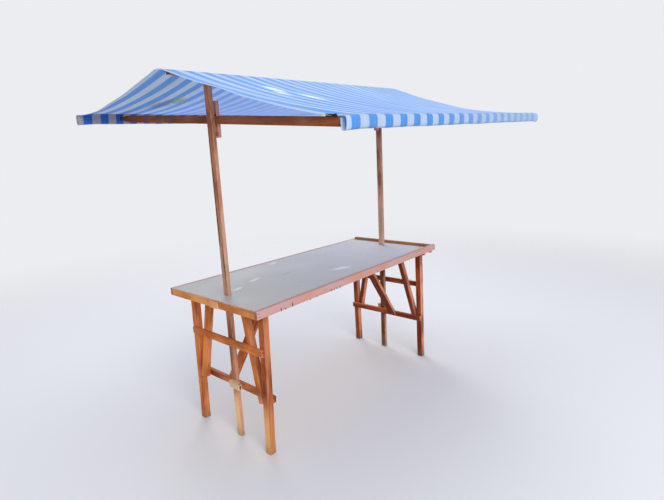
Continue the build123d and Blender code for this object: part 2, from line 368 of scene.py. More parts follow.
def wear_and_light_spot():
    tree, start, finish = new_group(
        "wear_and_light_spot",
        [("Place", VECTOR, None), ("Middle", VECTOR, None), ("Reach", VECTOR, None),
         ("Turn", NUMBER, 0.0), ("Ragged", NUMBER, 0.6)],
        ["Spot"],
    )
    turned = put(tree, "ShaderNodeVectorRotate", Vector=start["Place"], Center=start["Middle"],
                 Angle=start["Turn"])
    turned.node.rotation_type = "Z_AXIS"
    away = vectors(tree, "SUBTRACT", turned, start["Middle"])
    length = vectors(tree, "LENGTH", vectors(tree, "DIVIDE", away, start["Reach"]))
    rough = sums(tree, "SUBTRACT", cloudy(tree, start["Place"], 26.0, 4.0, 0.65), 0.5)
    edge = sums(tree, "MULTIPLY_ADD", rough, start["Ragged"], length)
    fill(tree, finish, Spot=remap(tree, edge, 1.0, 0.3))
    return tree


facing, wear_and_light = facing_masks(), wear_and_light_spot()


def spot_mask(tree, place, middle, reach, turn=0.0, ragged=1.2):
    return place_group(tree, wear_and_light, Place=place, Middle=middle, Reach=reach,
                       Turn=turn, Ragged=ragged)["Spot"]


print(facing.name, "and", wear_and_light.name, "ready")

# %% [markdown]
# ## One recipe for every kind of timber
# All the wood on the stall is the same sort of sawn lath, but each batch has its own colour:
# orange legs, a pink front rail, brown crossbars, fresh pale blocks. So one function holds
# the recipe, and each timber is a call with its own colours. The shader itself stays in the
# material, and the groups only feed its Base Color, Roughness and the Bump node's Height.

# %% Timber material recipe
def timber(name, pale, deep, end_colour, lit_side_colour, up=0.3, street=0.35,
           ring_strength=0.26, dust_strength=0.10, standing=False,
           sun_colour=(255, 190, 124), table_shade=0.3, knots=0.85):
    material, tree, shader = new_material(name)
    board = painted_value(tree, "board", "Vector")
    grain = place_group(tree, figure, Board=board)
    face = place_group(tree, saw_face, Board=board, Arris=painted_value(tree, "arris"))
    grime_and_light = place_group(tree, dirt_and_light, Place=place_on(tree))
    looks = place_group(tree, facing)
    dark = sums(tree, "MULTIPLY_ADD", grain["Fibre"], 0.24, times(tree, grain["Rings"], ring_strength))
    dark = sums(tree, "MULTIPLY_ADD", grain["Tone"], 0.56, dark)
    # standing wood: painted shade under the table top (lighter there if the strength is negative),
    # painted sunlight on the left feet
    if standing:
        dark = sums(tree, "MULTIPLY_ADD", grime_and_light["Sheltered"], table_shade, dark)
        dark = sums(tree, "MULTIPLY_ADD", grime_and_light["Sunned"], -0.30, dark)
    dark = sums(tree, "ADD", dark, painted_value(tree, "tone"), clamp=True)
    colour = blend_colour(tree, dark, mixed(*pale), mixed(*deep))
    # a coat of painted sunlight, weaker on street faces, then a paler band just above the table
    if standing:
        shaded = sums(tree, "MULTIPLY_ADD", looks["Street"], -0.5, 0.75)
        colour = coats(tree, colour, [(grime_and_light["Sunned"], shaded, mixed(*sun_colour)),
                                      (grime_and_light["Gripped"], 0.42, mixed(214, 180, 152))])
    # painted light: faces that look up and out to the street take a lighter, greyer colour
    lit_sides = sums(tree, "MULTIPLY_ADD", looks["Street"], street, times(tree, looks["Up"], up))
    lifted = tuple(min(1.0, c * 1.15 + 0.06) for c in mixed(*pale)[:3]) + (1.0,)
    colour = coats(tree, colour, [
        (lit_sides, sums(tree, "SUBTRACT", 1.25, grain["Tone"]), mixed(*lit_side_colour)),
        (painted_value(tree, "end_cut"), 0.8, mixed(*end_colour)),
        (grain["Knots"], knots, mixed(86, 44, 28)),
        (face["Wear"], 0.5, lifted),
        (grime_and_light["Dust"], dust_strength, mixed(190, 170, 156)),
        (grime_and_light["Splash"], 0.45, mixed(126, 98, 78)),
    ])
    fill(tree, shader, Base_Color=colour, Roughness=remap(tree, dark, 0.0, 1.0, 0.76, 0.58),
         Specular_IOR_Level=0.12)
    height = sums(tree, "MULTIPLY_ADD", grain["Rings"], -0.25, face["Height"])
    raise_surface(tree, shader, height, 0.5, 0.0012)
    return material


print("timber recipe ready")

# %% [markdown]
# ## The batches of timber
# Each batch is four mixed colours: pale early wood, deep late wood, the cut ends, and the
# painted light on its faces that look up and to the street. After them comes only what
# differs from the usual recipe, such as how strongly its upper side and its street side get
# that painted light, and how much painted shade it gets under the table top.

# %% Batches of timber
batches = {
    "left_trestle": ([(236, 142, 72), (126, 52, 16), (84, 36, 26), (206, 134, 98)],
                     dict(up=0.5, street=0.45, dust_strength=0.05, standing=True, table_shade=0.14)),
    "right_trestle": ([(210, 108, 54), (112, 44, 18), (200, 138, 106), (234, 156, 126)],
                      dict(up=0.6, street=0.7, dust_strength=0.04, standing=True)),
    "long_rail": ([(202, 158, 148), (202, 126, 92), (150, 78, 32), (186, 154, 155)],
                  dict(up=0.6, street=0.45, ring_strength=0.12, knots=0.0)),
    "end_rail": ([(238, 160, 88), (150, 72, 20), (150, 84, 46), (214, 180, 162)],
                 dict(up=0.6, street=0.2, dust_strength=0.04)),
    "left_mast": ([(216, 151, 110), (128, 72, 46), (110, 62, 40), (206, 150, 128)],
                  dict(street=0.45, standing=True, table_shade=-0.12, sun_colour=(255, 216, 154))),
    "right_mast": ([(224, 160, 126), (98, 54, 24), (110, 62, 40), (212, 158, 132)],
                   dict(street=0.5, standing=True, table_shade=0.55)),
    "crossbar": ([(152, 84, 50), (90, 44, 24), (66, 34, 24), (140, 88, 68)],
                 dict(up=0.4, street=0.1)),
    "cleat": ([(234, 168, 148), (190, 122, 102), (110, 62, 48), (214, 166, 156)], {}),
    "pole": ([(190, 134, 92), (120, 74, 48), (86, 44, 34), (190, 150, 124)], {}),
    "end_block": ([(240, 180, 132), (208, 134, 88), (190, 120, 80), (232, 190, 164)], {}),
    "fresh": ([(228, 198, 160), (196, 154, 114), (96, 58, 38), (222, 196, 168)], {}),
    "dark": ([(176, 114, 72), (118, 66, 40), (96, 54, 36), (190, 142, 110)], {}),
}
timbers = {kind: timber(f"{kind}_timber", *colours, **ways)
           for kind, (colours, ways) in batches.items()}
print("timbers:", ", ".join(timbers))

# %% [markdown]
# ## Pieces
# Every dressed piece goes the same short way: a worked shape becomes a mesh, the mesh a
# piece of the stall, and the piece gets its material. The helpers also find which way a
# board runs and write a painted value on each of its points.

# %% Piece helpers
def settled(name, shape):
    """Turn a worked shape into a mesh of that name, and let the shape go."""
    made = bpy.data.meshes.new(name)
    shape.to_mesh(made)
    shape.free()
    return made


def hung(name, mesh):
    """Put a mesh into the scene, softly shaded, as a piece of the stall."""
    mesh.shade_smooth()
    piece = bpy.data.objects.new(name, mesh)
    bpy.context.collection.objects.link(piece)
    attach(piece, "root")
    return piece


def finish_in(piece, material):
    piece.data.materials.clear()
    piece.data.materials.append(material)


def paint(mesh, name, kind, values):
    layer = mesh.attributes.new(name, kind, "POINT")
    field = "vector" if kind == "FLOAT_VECTOR" else "value"
    layer.data.foreach_set(field, values)


def run_of(mesh):
    """The way a board runs is the way of its longest edge."""
    def between(edge):
        a, b = (mesh.vertices[k].co for k in edge.vertices)
        return b - a
    return between(max(mesh.edges, key=lambda edge: between(edge).length)).normalized()


print("piece helpers ready")

# %% [markdown]
# ## Dressing a sawn piece
# A board off the saw has three things a plain solid lacks. Its sharp edges are broken by
# handling, it is never quite straight, and it has a direction. The function copies the sawn
# solid, bevels its long edges, cuts it across every few centimetres so that it can bow, and
# paints four values on it for the shader: place in the board, broken edge, end cut and tone.

# %% Sawn board helper
cut_every = 0.045
straight_end = 0.12


def softened(shape, edge, min_edge):
    """Clean a sawn solid's faces and break its sharp edges."""
    bmesh.ops.remove_doubles(shape, verts=shape.verts, dist=1e-6)
    bmesh.ops.dissolve_limit(shape, angle_limit=math.radians(1), verts=shape.verts, edges=shape.edges)
    sharp = [e for e in shape.edges if len(e.link_faces) == 2
             and e.calc_face_angle(0) > 0.5 and e.calc_length() > min_edge]
    bmesh.ops.bevel(shape, geom=sharp, offset=edge, segments=2, profile=0.6,
                    affect="EDGES", clamp_overlap=True)


def cut_across(shape, spot, way):
    everything = shape.verts[:] + shape.edges[:] + shape.faces[:]
    bmesh.ops.bisect_plane(shape, geom=everything, plane_co=way * spot, plane_no=way)


def sliced(shape, ways, low, high, inset, cut_every):
    """Cut a board across every few centimetres, and beside its rims if there is an inset."""
    if inset:
        for way, near, far in zip(ways[1:], low[1:], high[1:]):
            if far - near > 2.5 * inset:
                cut_across(shape, near + inset, way)
                cut_across(shape, far - inset, way)
        cut_across(shape, low[0] + inset, ways[0])
        cut_across(shape, high[0] - inset, ways[0])
    steps = max(1, int((high[0] - low[0]) / cut_every))
    for k in range(1, steps):
        cut_across(shape, low[0] + (high[0] - low[0]) * k / steps, ways[0])


def keep_flat_faces(mesh, angle=50):
    """Only the broken edges are smooth; sawn faces stay flat."""
    limit = math.radians(angle)
    shape = bmesh.new()
    shape.from_mesh(mesh)
    for line in shape.edges:
        line.smooth = not (len(line.link_faces) == 2 and line.calc_face_angle(0) > limit)
    shape.to_mesh(mesh)
    shape.free()


def dressed_board(name, tone=0.0, bow=0.0011, edge=0.0014, min_edge=0.012, rim=0.004):
    chance = random.Random(name)
    source = sawn[name].data
    run = run_of(source)
    helper = Vector((0, 0, 1)) if abs(run.z) < 0.8 else Vector((0, 1, 0))
    across = run.cross(helper).normalized()
    third = run.cross(across)
    ways = (run, across, third)
    shape = bmesh.new()
    shape.from_mesh(source)
    softened(shape, edge, min_edge)
    low, high = ([pick(v.co.dot(w) for v in shape.verts) for w in ways] for pick in (min, max))
    sliced(shape, ways, low, high, edge + rim if rim else 0.0, cut_every)
    start = [chance.uniform(0, 60), chance.uniform(-0.05, 0.05), chance.uniform(0.02, 0.07)]
    places, marks, ends = [], [], []
    shape.normal_update()
    for vert in shape.verts:
        reach = [vert.co.dot(w) for w in ways]
        gaps = [min(r - a, b - r) for r, a, b in zip(reach, low, high)]
        middles = [r - (a + b) / 2 for r, a, b in zip(reach, low, high)]
        places += [m + o for m, o in zip(middles, start)]
        marks.append(1.0 if sorted(gaps)[1] < edge * 1.05 else 0.0)
        ends.append(1.0 if gaps[0] < edge * 0.75 else 0.0)
        s = middles[0]
        fade = min(1.0, gaps[0] / straight_end)
        twist = noise.noise(Vector((s * 2.3 + start[0], 0.0, 7.0)))
        bend = noise.noise(Vector((s * 2.1 + start[0], 3.0, 0.0)))
        nick = noise.noise(vert.co * 60) * 0.0003 * marks[-1]
        vert.co += (across * twist + third * bend) * bow * fade + vert.normal * nick
    made = settled(name + "_dressed", shape)
    shade = tone + chance.uniform(-0.09, 0.09)
    paint(made, "board", "FLOAT_VECTOR", places)
    for label, values in (("arris", marks), ("end_cut", ends), ("tone", [shade] * len(marks))):
        paint(made, label, "FLOAT", values)
    piece = hung(name + "_dressed", made)
    keep_flat_faces(made)
    even = piece.modifiers.new("even light on flats", "WEIGHTED_NORMAL")
    even.keep_sharp = True
    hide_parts(name)
    return piece


print("boards are dressed from", len(sawn), "sawn solids")

# %% [markdown]
# ## Dressing the two trestles
# Each trestle has two legs, two slanting laths, three rails and a brace. The left one's
# batch has faded to orange and the right one's is redder. Boards of one batch still differ,
# and they could each get a material, but a tone value on the board does it with one. The
# laths were never straight, so they bow by about a millimetre, which keeps them alive.

# %% Trestles
trestle_parts = ["front_leg", "back_leg", "front_diagonal", "back_diagonal",
                 "top_rail", "upper_rail", "lower_rail", "brace"]
trestle_tone = {"left": -0.04, "right": 0.10}
# boards' own tones, but the right brace's high tone is painted shade
board_tone = {"left_upper_rail": -0.22, "left_lower_rail": 0.24, "left_front_leg": 0.26,
              "left_back_leg": -0.16, "left_back_diagonal": -0.22, "right_brace": 0.6,
              "right_lower_rail": -0.06, "left_brace": 0.1}
for side, tone in trestle_tone.items():
    for part in trestle_parts:
        name = f"{side}_{part}"
        board = dressed_board(name, tone + board_tone.get(name, 0.0))
        finish_in(board, timbers[f"{side}_trestle"])
print("trestles dressed:", 2 * len(trestle_parts), "boards")

# %% [markdown]
# ## Dressing the table frame
# The long rails and end rails are wider boards of the same pine, painted a greyer pink
# where they face the street, as painted light. A darker lip is nailed on the right end and
# a fresh block packs out the left.
# They are dressed the same way, with less bow, because the nailed corners hold them straight.

# %% Table frame
table_parts = {
    "front_table_rail": ("long_rail", -0.05), "back_table_rail": ("long_rail", 0.0),
    "left_end_rail": ("end_rail", -0.05), "right_end_rail": ("end_rail", 0.0),
    "left_cross_batten": ("end_rail", 0.1), "right_cross_batten": ("end_rail", 0.1),
}
for name, (kind, tone) in table_parts.items():
    finish_in(dressed_board(name, tone, bow=0.0007), timbers[kind])
finish_in(dressed_board("right_end_lip"), timbers["dark"])
block_kinds = {"left_end_block": "end_block", "left_mast_block": "fresh",
               "right_mast_block": "fresh"}
for name, kind in block_kinds.items():
    finish_in(dressed_board(name, -0.1, bow=0.0), timbers[kind])
print("table frame dressed:", len(table_parts) + 1 + len(block_kinds), "boards")

# %% [markdown]
# ## Dressing the masts and the roof poles
# The masts and crossbars are darker, better seasoned laths. The three poles under the cloth
# are hidden but for their ends. A round pole must keep its roundness, so only the rims of
# its ends are broken, and the board is sliced finely enough to carry the grain values.

# %% Masts, crossbars, cleats, pins and poles
mast_tone = {"left": 0.25, "right": -0.08}
for side, tone in mast_tone.items():
    for part, kind in (("mast", f"{side}_mast"), ("crossbar", "crossbar"), ("mast_cleat", "cleat")):
        batch = tone if part == "mast" else 0.0
        finish_in(dressed_board(f"{side}_{part}", batch), timbers[kind])
finish_in(dressed_board("ridge_pole"), timbers["pole"])
for side in ("front", "back"):
    pole = dressed_board(f"{side}_eave_pole", 0.0, bow=0.0, edge=0.0012, min_edge=0.001, rim=0.0)
    finish_in(pole, timbers["pole"])
print("masts and poles dressed")

# %% [markdown]
# ## The painted top
# The top is a thin pressed board with a coat of pale grey paint, tacked down on the rails.
# Paint on board is nearly flat, so its life is in small things: slow blotches where it was
# rubbed down, a painted glare that is a little cooler towards the right end, fine scratches
# that run every way, and a brown core at the cut edges. The board itself gets broken edges
# and a cut every few
# centimetres.

# %% Painted board material and the top
scuffs = [((-0.630, 0.017), (0.056, 0.020), 0.40), ((-0.455, 0.083), (0.066, 0.022), 0.30),
          ((0.012, -0.180), (0.095, 0.040), -0.20), ((-0.126, 0.298), (0.060, 0.022), 0.40)]
rub_marks = [((-0.250, 0.030), (0.050, 0.012), 0.1)]
mark_depth = 0.05
top_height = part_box("table_top_sheet")[1][2]


def table_marks(tree, place, marks, strength, tint):
    """Coats for marks on the top; a mark is (middle, half length and width, turn)."""
    for (x, y), (half_long, half_wide), turn in marks:
        middle = (x + table_middle.x, y + table_middle.y, top_height)
        mask = spot_mask(tree, place, middle, (half_long, half_wide, mark_depth), -turn)
        yield mask, strength, tint


def painted_board(name):
    material, tree, shader = new_material(name)
    place = place_on(tree)
    grime_and_light = place_group(tree, dirt_and_light, Place=place, Splash_Height=no_splash)
    looks = place_group(tree, facing)
    blotch = remap(tree, cloudy(tree, place, (2.2, 5.0, 5.0), 4.0, 0.6), 0.3, 0.7)
    streak = cloudy(tree, place, (6.0, 60.0, 1.0), 4.0, 0.6)
    cracks = vectors(tree, "MULTIPLY", place, (9.0, 14.0, 1.0))
    scratch = put(tree, "ShaderNodeTexVoronoi", Vector=cracks)
    scratch.node.feature = "DISTANCE_TO_EDGE"
    broken = remap(tree, cloudy(tree, place, 31.0), 0.55, 0.62)
    thin = times(tree, remap(tree, scratch, 0.006, 0.0), broken)
    colour = blend_colour(tree, blotch, mixed(181, 177, 168), mixed(190, 186, 177))
    colour = coats(tree, colour, [
        # painted glare, a little cooler, lightens the top towards its right end
        (remap(tree, parts_of(tree, place)[0], -0.75, 0.45), 0.8, mixed(200, 196, 199)),
        (remap(tree, streak, 0.58, 0.72), 0.22, mixed(208, 205, 200)),
        (thin, 0.2, mixed(130, 124, 124)),
        (grime_and_light["Dust"], 0.12, mixed(176, 164, 158)),
        *table_marks(tree, place, scuffs, 0.75, mixed(230, 226, 222)),
        *table_marks(tree, place, rub_marks, 0.5, mixed(140, 134, 132)),
        (sums(tree, "SUBTRACT", 1.0, looks["Up"]), 0.9, mixed(214, 168, 134)),
    ])
    fill(tree, shader, Base_Color=colour, Roughness=remap(tree, blotch, 0.0, 1.0, 0.5, 0.62),
         Specular_IOR_Level=0.35)
    roller = cloudy(tree, place, 420.0)
    raise_surface(tree, shader, sums(tree, "MULTIPLY_ADD", thin, -2.0, roller), 0.35, 0.0006)
    return material


top = dressed_board("table_top_sheet", bow=0.0, edge=0.0010)
finish_in(top, painted_board("painted_top"))
print("top laid:", len(top.data.polygons), "faces")

# %% [markdown]
# ## Steel: pins, nails and tacks
# Nails hold everything, and each leaves a dark round head. A head is a shallow dome on a
# rim, ten sides are enough at this size, and all the heads of one job are joined into one
# piece. Their places are not guessed: two boards that cross are nailed where their middle
# lines cross, so the helper finds that point from the sawn pieces.

# %% Steel material and nail helpers
nail_radius, brad_radius = 0.0032, 0.0014
table_nail_radius, tack_radius = 0.0026, 0.0024


def dull_steel(name, pale, rust):
    material, tree, shader = new_material(name)
    bloom = remap(tree, cloudy(tree, place_on(tree), 260.0, 4.0, 0.7), 0.42, 0.62)
    fill(tree, shader, Base_Color=blend_colour(tree, bloom, pale, rust),
         Roughness=remap(tree, bloom, 0.0, 1.0, 0.42, 0.85),
         Metallic=remap(tree, bloom, 0.0, 1.0, 0.9, 0.1))
    raise_surface(tree, shader, bloom, 0.4, 0.0004)
    return material


steel = dull_steel("nail_steel", mixed(92, 84, 80), mixed(96, 56, 38))
rusty_wire = dull_steel("rusty_wire", mixed(44, 36, 36), mixed(58, 36, 30))


def face_of(name, axis, way):
    """Where a sawn piece's outer face lies on an axis; way is -1 or 1."""
    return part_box(name)[0 if way < 0 else 1][axis]


def crossing(first, second):
    """Where two boards' middle lines cross, seen along X, as (y, z)."""
    (p, d), (q, e) = ((centre_of(name), run_of(sawn[name].data)) for name in (first, second))
    share = ((q.y - p.y) * e.z - (q.z - p.z) * e.y) / (d.y * e.z - d.z * e.y)
    return p.y + d.y * share, p.z + d.z * share


def ring_of(shape, middle, side, over, radius, count):
    """Corners of a round ring, spanned by the two directions side and over."""
    turns = [2 * math.pi * k / count for k in range(count)]
    return [shape.verts.new(middle + (side * math.cos(a) + over * math.sin(a)) * radius)
            for a in turns]


def skinned(shape, rings):
    """Faces from ring to ring, and one over each end."""
    for near, far in zip(rings, rings[1:]):
        for k in range(len(near)):
            n = (k + 1) % len(near)
            shape.faces.new((near[k], near[n], far[n], far[k]))
    shape.faces.new(rings[0][::-1])
    shape.faces.new(rings[-1])


def nail_head(shape, spot, out, radius, proud=0.0009, sunk=0.0004):
    """A shallow dome standing proud of a face; out is the way the face looks."""
    side = out.orthogonal().normalized()
    over = out.cross(side)
    outline = ((1.0, -sunk), (1.0, proud * 0.45), (0.72, proud * 0.9), (0.3, proud))
    skinned(shape, [ring_of(shape, spot + out * rise, side, over, radius * reach, 10)
                    for reach, rise in outline])


def nailed(name, spots, radius=nail_radius):
    """One piece with all its nail heads; spots are (point, way the face looks)."""
    chance = random.Random(name)
    shape = bmesh.new()
    for point, out in spots:
        shift = Vector([chance.uniform(-0.002, 0.002) for _ in range(3)])
        shift -= out * shift.dot(out)
        nail_head(shape, Vector(point) + shift, out.normalized(), radius)
    finish_in(hung(name, settled(name, shape)), steel)


def brads(name, block, away, spread):
    """Two small heads in a block's outer face, level with its middle."""
    middle = centre_of(block)
    nailed(name, [((face_of(block, 0, away), middle.y + shift, middle.z), Vector((away, 0, 0)))
                  for shift in (-spread, spread)], brad_radius)


for side in ("left", "right"):
    pin = dressed_board(f"{side}_crossbar_pin", bow=0.0, edge=0.0006, min_edge=0.0005, rim=0.0)
    finish_in(pin, steel)
print("pins turned; nail helpers ready")

# %% [markdown]
# ## Nailing the trestles
# Rails lie on the outer or inner faces of the legs, so the nails go in from the open face,
# in slanting pairs as anybody drives them who has split a lath once. The two boards'
# crossing gives the middle of each pair.

# %% Trestle nails
def pair(first, second, face_x, out_x, lean, gap=0.011, edge=0.007):
    """Two nails at the crossing of two boards, gap to each side and inside the edges."""
    y, z = crossing(first, second)
    low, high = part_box(first)
    return [((face_x, min(max(y + way * gap, low[1] + edge), high[1] - edge), z + way * gap * lean),
             Vector((out_x, 0, 0))) for way in (-1, 1)]


for side, away in (("left", -1), ("right", 1)):
    spots = []
    outer = face_of(f"{side}_upper_rail", 0, away)
    inner = face_of(f"{side}_lower_rail", 0, -away)
    for part in ("front_leg", "back_leg", "front_diagonal", "back_diagonal"):
        lean = 1 if "front" in part else -1
        upright = f"{side}_{part}"
        spots += pair(f"{side}_top_rail", upright, outer, away, lean)
        spots += pair(f"{side}_upper_rail", upright, outer, away, -lean)
        spots += pair(f"{side}_lower_rail", upright, inner, -away, lean)
    nailed(f"{side}_trestle_nails", spots)
    brads(f"{side}_block_brads", f"{side}_mast_block", away, 0.028)
    print(side, "trestle:", len(spots), "nails")

# %% [markdown]
# ## Nailing the table
# The long rails are nailed into the ends of the end rails and the battens, level with
# the rail's middle line, which slants a little in front. The top is held by rows of
# tacks along its left end and over both battens. The lip has four nails from above.

# %% Table nails and tacks
upward = Vector((0, 0, 1))


def line_height(name, axis, place):
    """Height of a board's middle line at a place along an axis, from its two ends."""
    low, high = (corner[axis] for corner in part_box(name))
    levels = []
    for end in (low, high):
        at_end = [c.co.z for c in sawn[name].data.vertices if abs(c.co[axis] - end) < 0.001]
        levels.append(sum(at_end) / len(at_end))
    return levels[0] + (levels[1] - levels[0]) * (place - low) / (high - low)


def spaced(low, high, inset, count):
    """Even places between two ends, the outer ones an inset away from them."""
    return [low + inset + k * (high - low - 2 * inset) / (count - 1) for k in range(count)]


end_inset, edge_inset, lip_inset, tack_inset = 0.0125, 0.008, 0.05, 0.03
in_height = (-0.011, 0.011)
side_by_side = 0.010
nail_places = [(face_of("front_table_rail", 0, way) - way * end_inset, in_height, 0.0)
               for way in (-1, 1)]
battens = ("left_cross_batten", "right_cross_batten")
nail_places += [(centre_of(batten).x, (0.0, 0.0), side_by_side) for batten in battens]
spots = []
for rail, looks_out in (("front_table_rail", -1), ("back_table_rail", 1)):
    face_y = face_of(rail, 1, looks_out)
    for x, shifts, spread in nail_places:
        for way, shift in zip((-1, 1), shifts):
            nail = (x + way * spread, face_y, line_height(rail, 0, x) + shift)
            spots.append((nail, Vector((0, looks_out, 0))))
brads("end_block_brads", "left_end_block", -1, 0.02)
lip_low, lip_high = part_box("right_end_lip")
lip_x = (lip_low[0] + lip_high[0]) / 2
spots += [((lip_x, y, lip_high[2]), upward) for y in spaced(lip_low[1], lip_high[1], lip_inset, 4)]
nailed("table_nails", spots, table_nail_radius)

sheet_low, sheet_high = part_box("table_top_sheet")
tack_rows = [sheet_low[0] + edge_inset] + [centre_of(batten).x for batten in battens]
tacks = [((x, y, sheet_high[2]), upward) for x in tack_rows
         for y in spaced(sheet_low[1], sheet_high[1], tack_inset, 6)]
nailed("top_tacks", tacks, tack_radius)
print("table:", len(spots), "nails and", len(tacks), "tacks")

# %% [markdown]
# ## How the cloth hangs
# The roof is one length of awning cloth. It goes up over the ridge pole and down both sides,
# and each end turns round a pole and is sewn back to itself as an open sleeve. It could be
# dropped on the poles by a cloth simulation, but the sleeves and the pull of the poles fix
# its shape, so a smooth formula gives a cleaner cloth: a straight line from ridge to eave,
# less a sag that is deepest halfway. Near its two open ends it droops a little more.

# %% Shape of the hanging cloth
cloth_across = 2.140
cloth_skin = 0.0010
cloth_depth = 0.0014
mast_x = 0.722
strip_half = 0.0195
left_sag, more_sag_at_right = 0.025, 0.020
# Each line runs where the cloth meets a pole: its left end, its width, its height at the
# left mast and its rise to the right one. Pull and spread shift the threads along it.
lines = {
    "front": dict(left=-0.701, width=2.140, pull=-0.038, spread=0.0, height=1.644, rise=0.045),
    "ridge": dict(left=-0.965, width=1.835, pull=0.05, spread=0.0, height=1.903, rise=0.027),
    "back": dict(left=-0.955, width=1.800, pull=0.065, spread=0.22, height=1.795, rise=0.027),
}
eave_y = {side: centre_of(f"{side}_eave_pole").y - table_middle.y for side in ("front", "back")}


def place_on_line(line, s):
    """Where along X a thread meets one of the three lines; s runs from 0 to 1."""
    place = s - line["pull"] * s * (1 - s) + line["spread"] * s * (1 - s) ** 6
    return line["left"] + line["width"] * place


def line_level(line, x):
    """Height of a line, which rises from the left mast to the right one."""
    return line["height"] + line["rise"] * (x + mast_x) / (2 * mast_x)


def cloth_at(s, y, side):
    """Middle of the cloth on one slope, in table measures, and its share of the way down."""
    reach = abs(eave_y[side])
    way = min(1.0, abs(y) / reach)
    share = min(1.0, max(0.0, (abs(y) - strip_half) / (reach - strip_half)))
    ridge_x = place_on_line(lines["ridge"], s)
    x = ridge_x + (place_on_line(lines[side], s) - ridge_x) * way
    top = line_level(lines["ridge"], x)
    low = line_level(lines[side], x)
    sag = left_sag + more_sag_at_right * s
    return Vector((x, y, top + (low - top) * share - 4 * sag * share * (1 - share) - cloth_depth)), share


print("eaves at", {k: round(v, 4) for k, v in eave_y.items()})

# %% [markdown]
# ## The path of one thread
# Follow one warp thread of the cloth from its sewn end: along under the slope, down the
# inner side of the sleeve, round its hanging bottom, up over the pole, up the slope, across
# the ridge and the same again in reverse at the back. The sleeve's turns are a few points
# with a smooth curve through them, because a sleeve is a soft loop and not a tube.

# %% Path of a thread through both sleeves
sleeve_turn = [(-0.0175, 0.0045), (-0.0148, 0.012), (-0.0143, 0.026), (-0.0139, 0.040),
               (-0.0098, 0.0513), (0.0, 0.0556), (0.0102, 0.0512), (0.0141, 0.0400),
               (0.0143, 0.026), (0.0143, 0.0143), (0.0101, 0.0042), (0.0040, 0.0006)]
hem_reach, hem_gap = 0.040, 0.0021
seam_in = 0.029
turn_step, slope_step, ridge_step = 0.0045, 0.0125, 0.012


def smooth_through(points, step):
    """Catmull-Rom curve through points, cut into pieces of about one step."""
    out = []
    for k in range(len(points) - 1):
        a, b, c, d = (Vector(points[min(max(k + m, 0), len(points) - 1)]) for m in (-1, 0, 1, 2))
        count = max(1, round((c - b).length / step))
        for n in range(count):
            t = n / count
            out.append(0.5 * (2 * b + (c - a) * t + (2 * a - 5 * b + 4 * c - d) * t * t
                              + (3 * b - a - 3 * c + d) * t ** 3))
    out.append(Vector(points[-1]))
    return out


def half_thread(side):
    """Steps from the sewn end to the ridge: (where, side, first number, second number)."""
    steps = [("under", side, q, 0.0) for q in (hem_reach, 0.036, seam_in, 0.024, 0.0205)]
    steps += [("turn", side, p.x, p.y) for p in smooth_through(sleeve_turn, turn_step)]
    run = abs(eave_y[side]) - strip_half
    rows = round(run / slope_step)
    return steps + [("slope", side, strip_half + run * (1 - k / rows), 0.0)
                    for k in range(rows + 1)]


path = half_thread("front")
path += [("slope", "front", ridge_step, 0.0), ("slope", "back", 0.0, 0.0),
         ("slope", "back", ridge_step, 0.0)]
path += half_thread("back")[::-1]
print("a thread has", len(path), "steps")

# %% [markdown]
# ## Wind and wrinkles
# A cloth that is only a formula looks like sheet metal. Three things soften it: long shallow
# ripples down each slope where the cloth is slack between the poles, small puckers near the
# sewn seam, and a loose flutter along the side edges that nothing holds. They come from
# smooth noise, fade out at ridge and pole where the cloth is held, and stay within a few
# millimetres so that the roof keeps its measured shape.

# %% Ripples, puckers and flutter
long_wave, short_wave, pucker_wave, flutter_wave = 0.0065, 0.0026, 0.0013, 0.007
flutter_fade = 0.06
sleeve_drift, sleeve_drop, sleeve_loose_from = 0.0045, 0.0022, 0.026
end_width, end_droop, end_dip = 0.11, 0.005, 0.19
eave_width = 0.10
sewn_press = 0.0006


def waves(x, y, z, height):
    """Smooth noise at a place, as a height in metres."""
    return noise.noise(Vector((x, y, z))) * height


def ripple(u, y, share):
    """Height of the wrinkles over the smooth slope."""
    slack = math.sin(math.pi * min(1.0, max(0.0, share))) ** 0.8
    fan = u + 0.10 * y
    loose = math.exp(-min(u, cloth_across - u) / flutter_fade)
    slow = waves(fan * 4.2, y * 0.9, 2.0, long_wave) + waves(fan * 12.5, y * 1.6, 9.0, short_wave)
    flutter = waves(y * 7.0, 4.0 if u < 1 else 8.0, 0.5, flutter_wave) * loose
    pucker = waves(fan * 34.0, y * 3.0, 5.0, pucker_wave) * share ** 3
    return slack * (slow + flutter) + pucker * (1 - share) * 2.0


def sleeve_wave(u, down):
    """Sideways and downward drift of the loose bottom of a sleeve."""
    loose = max(0.0, (down - sleeve_loose_from) / 0.03)
    return (waves(u * 7.5, 1.0, 3.0, sleeve_drift) * loose,
            waves(u * 5.5, 6.0, 3.0, sleeve_drop) * loose)


def cloth_point(u, step):
    """Where a thread lies at one step of its path, in table measures."""
    where, side, first, second = step
    outward = -1 if side == "front" else 1
    s = u / cloth_across
    end = max(0.0, 1 - min(u, cloth_across - u) / end_width)
    droop = end_droop * end ** 1.5
    if where == "turn":
        drift, drop = sleeve_wave(u, second)
        spot, _ = cloth_at(s, eave_y[side], side)
        spot.y += outward * (first + drift)
        spot.z -= second + drop + droop
        return spot
    y = eave_y[side] - outward * first if where == "under" else outward * first
    spot, share = cloth_at(s, y, side)
    near_eave = max(0.0, 1 - (abs(eave_y[side]) - abs(y)) / eave_width)
    spot.z += ripple(u, y, share) - droop * near_eave
    spot.z -= end_dip * share ** 4 * (1 - share) * end ** 1.5
    if where == "under":
        spot.z -= hem_gap - (sewn_press if abs(first - seam_in) < 0.001 else 0.0)
    return spot


highest = max(ripple(u / 10, -0.4, 0.5) for u in range(22))
print("highest ripple near the middle:", round(highest, 4), "m")

# %% [markdown]
# ## Weaving the mesh
# One grid of points is enough: the columns are threads, four to each stripe, and the rows
# are the steps of the path. Every point also keeps its place in the flat cut, in metres
# across and along. The stripes and the weave are drawn from that place, so they run true
# round the sleeves however the cloth bends. A thin Solidify gives the cloth its two sides.

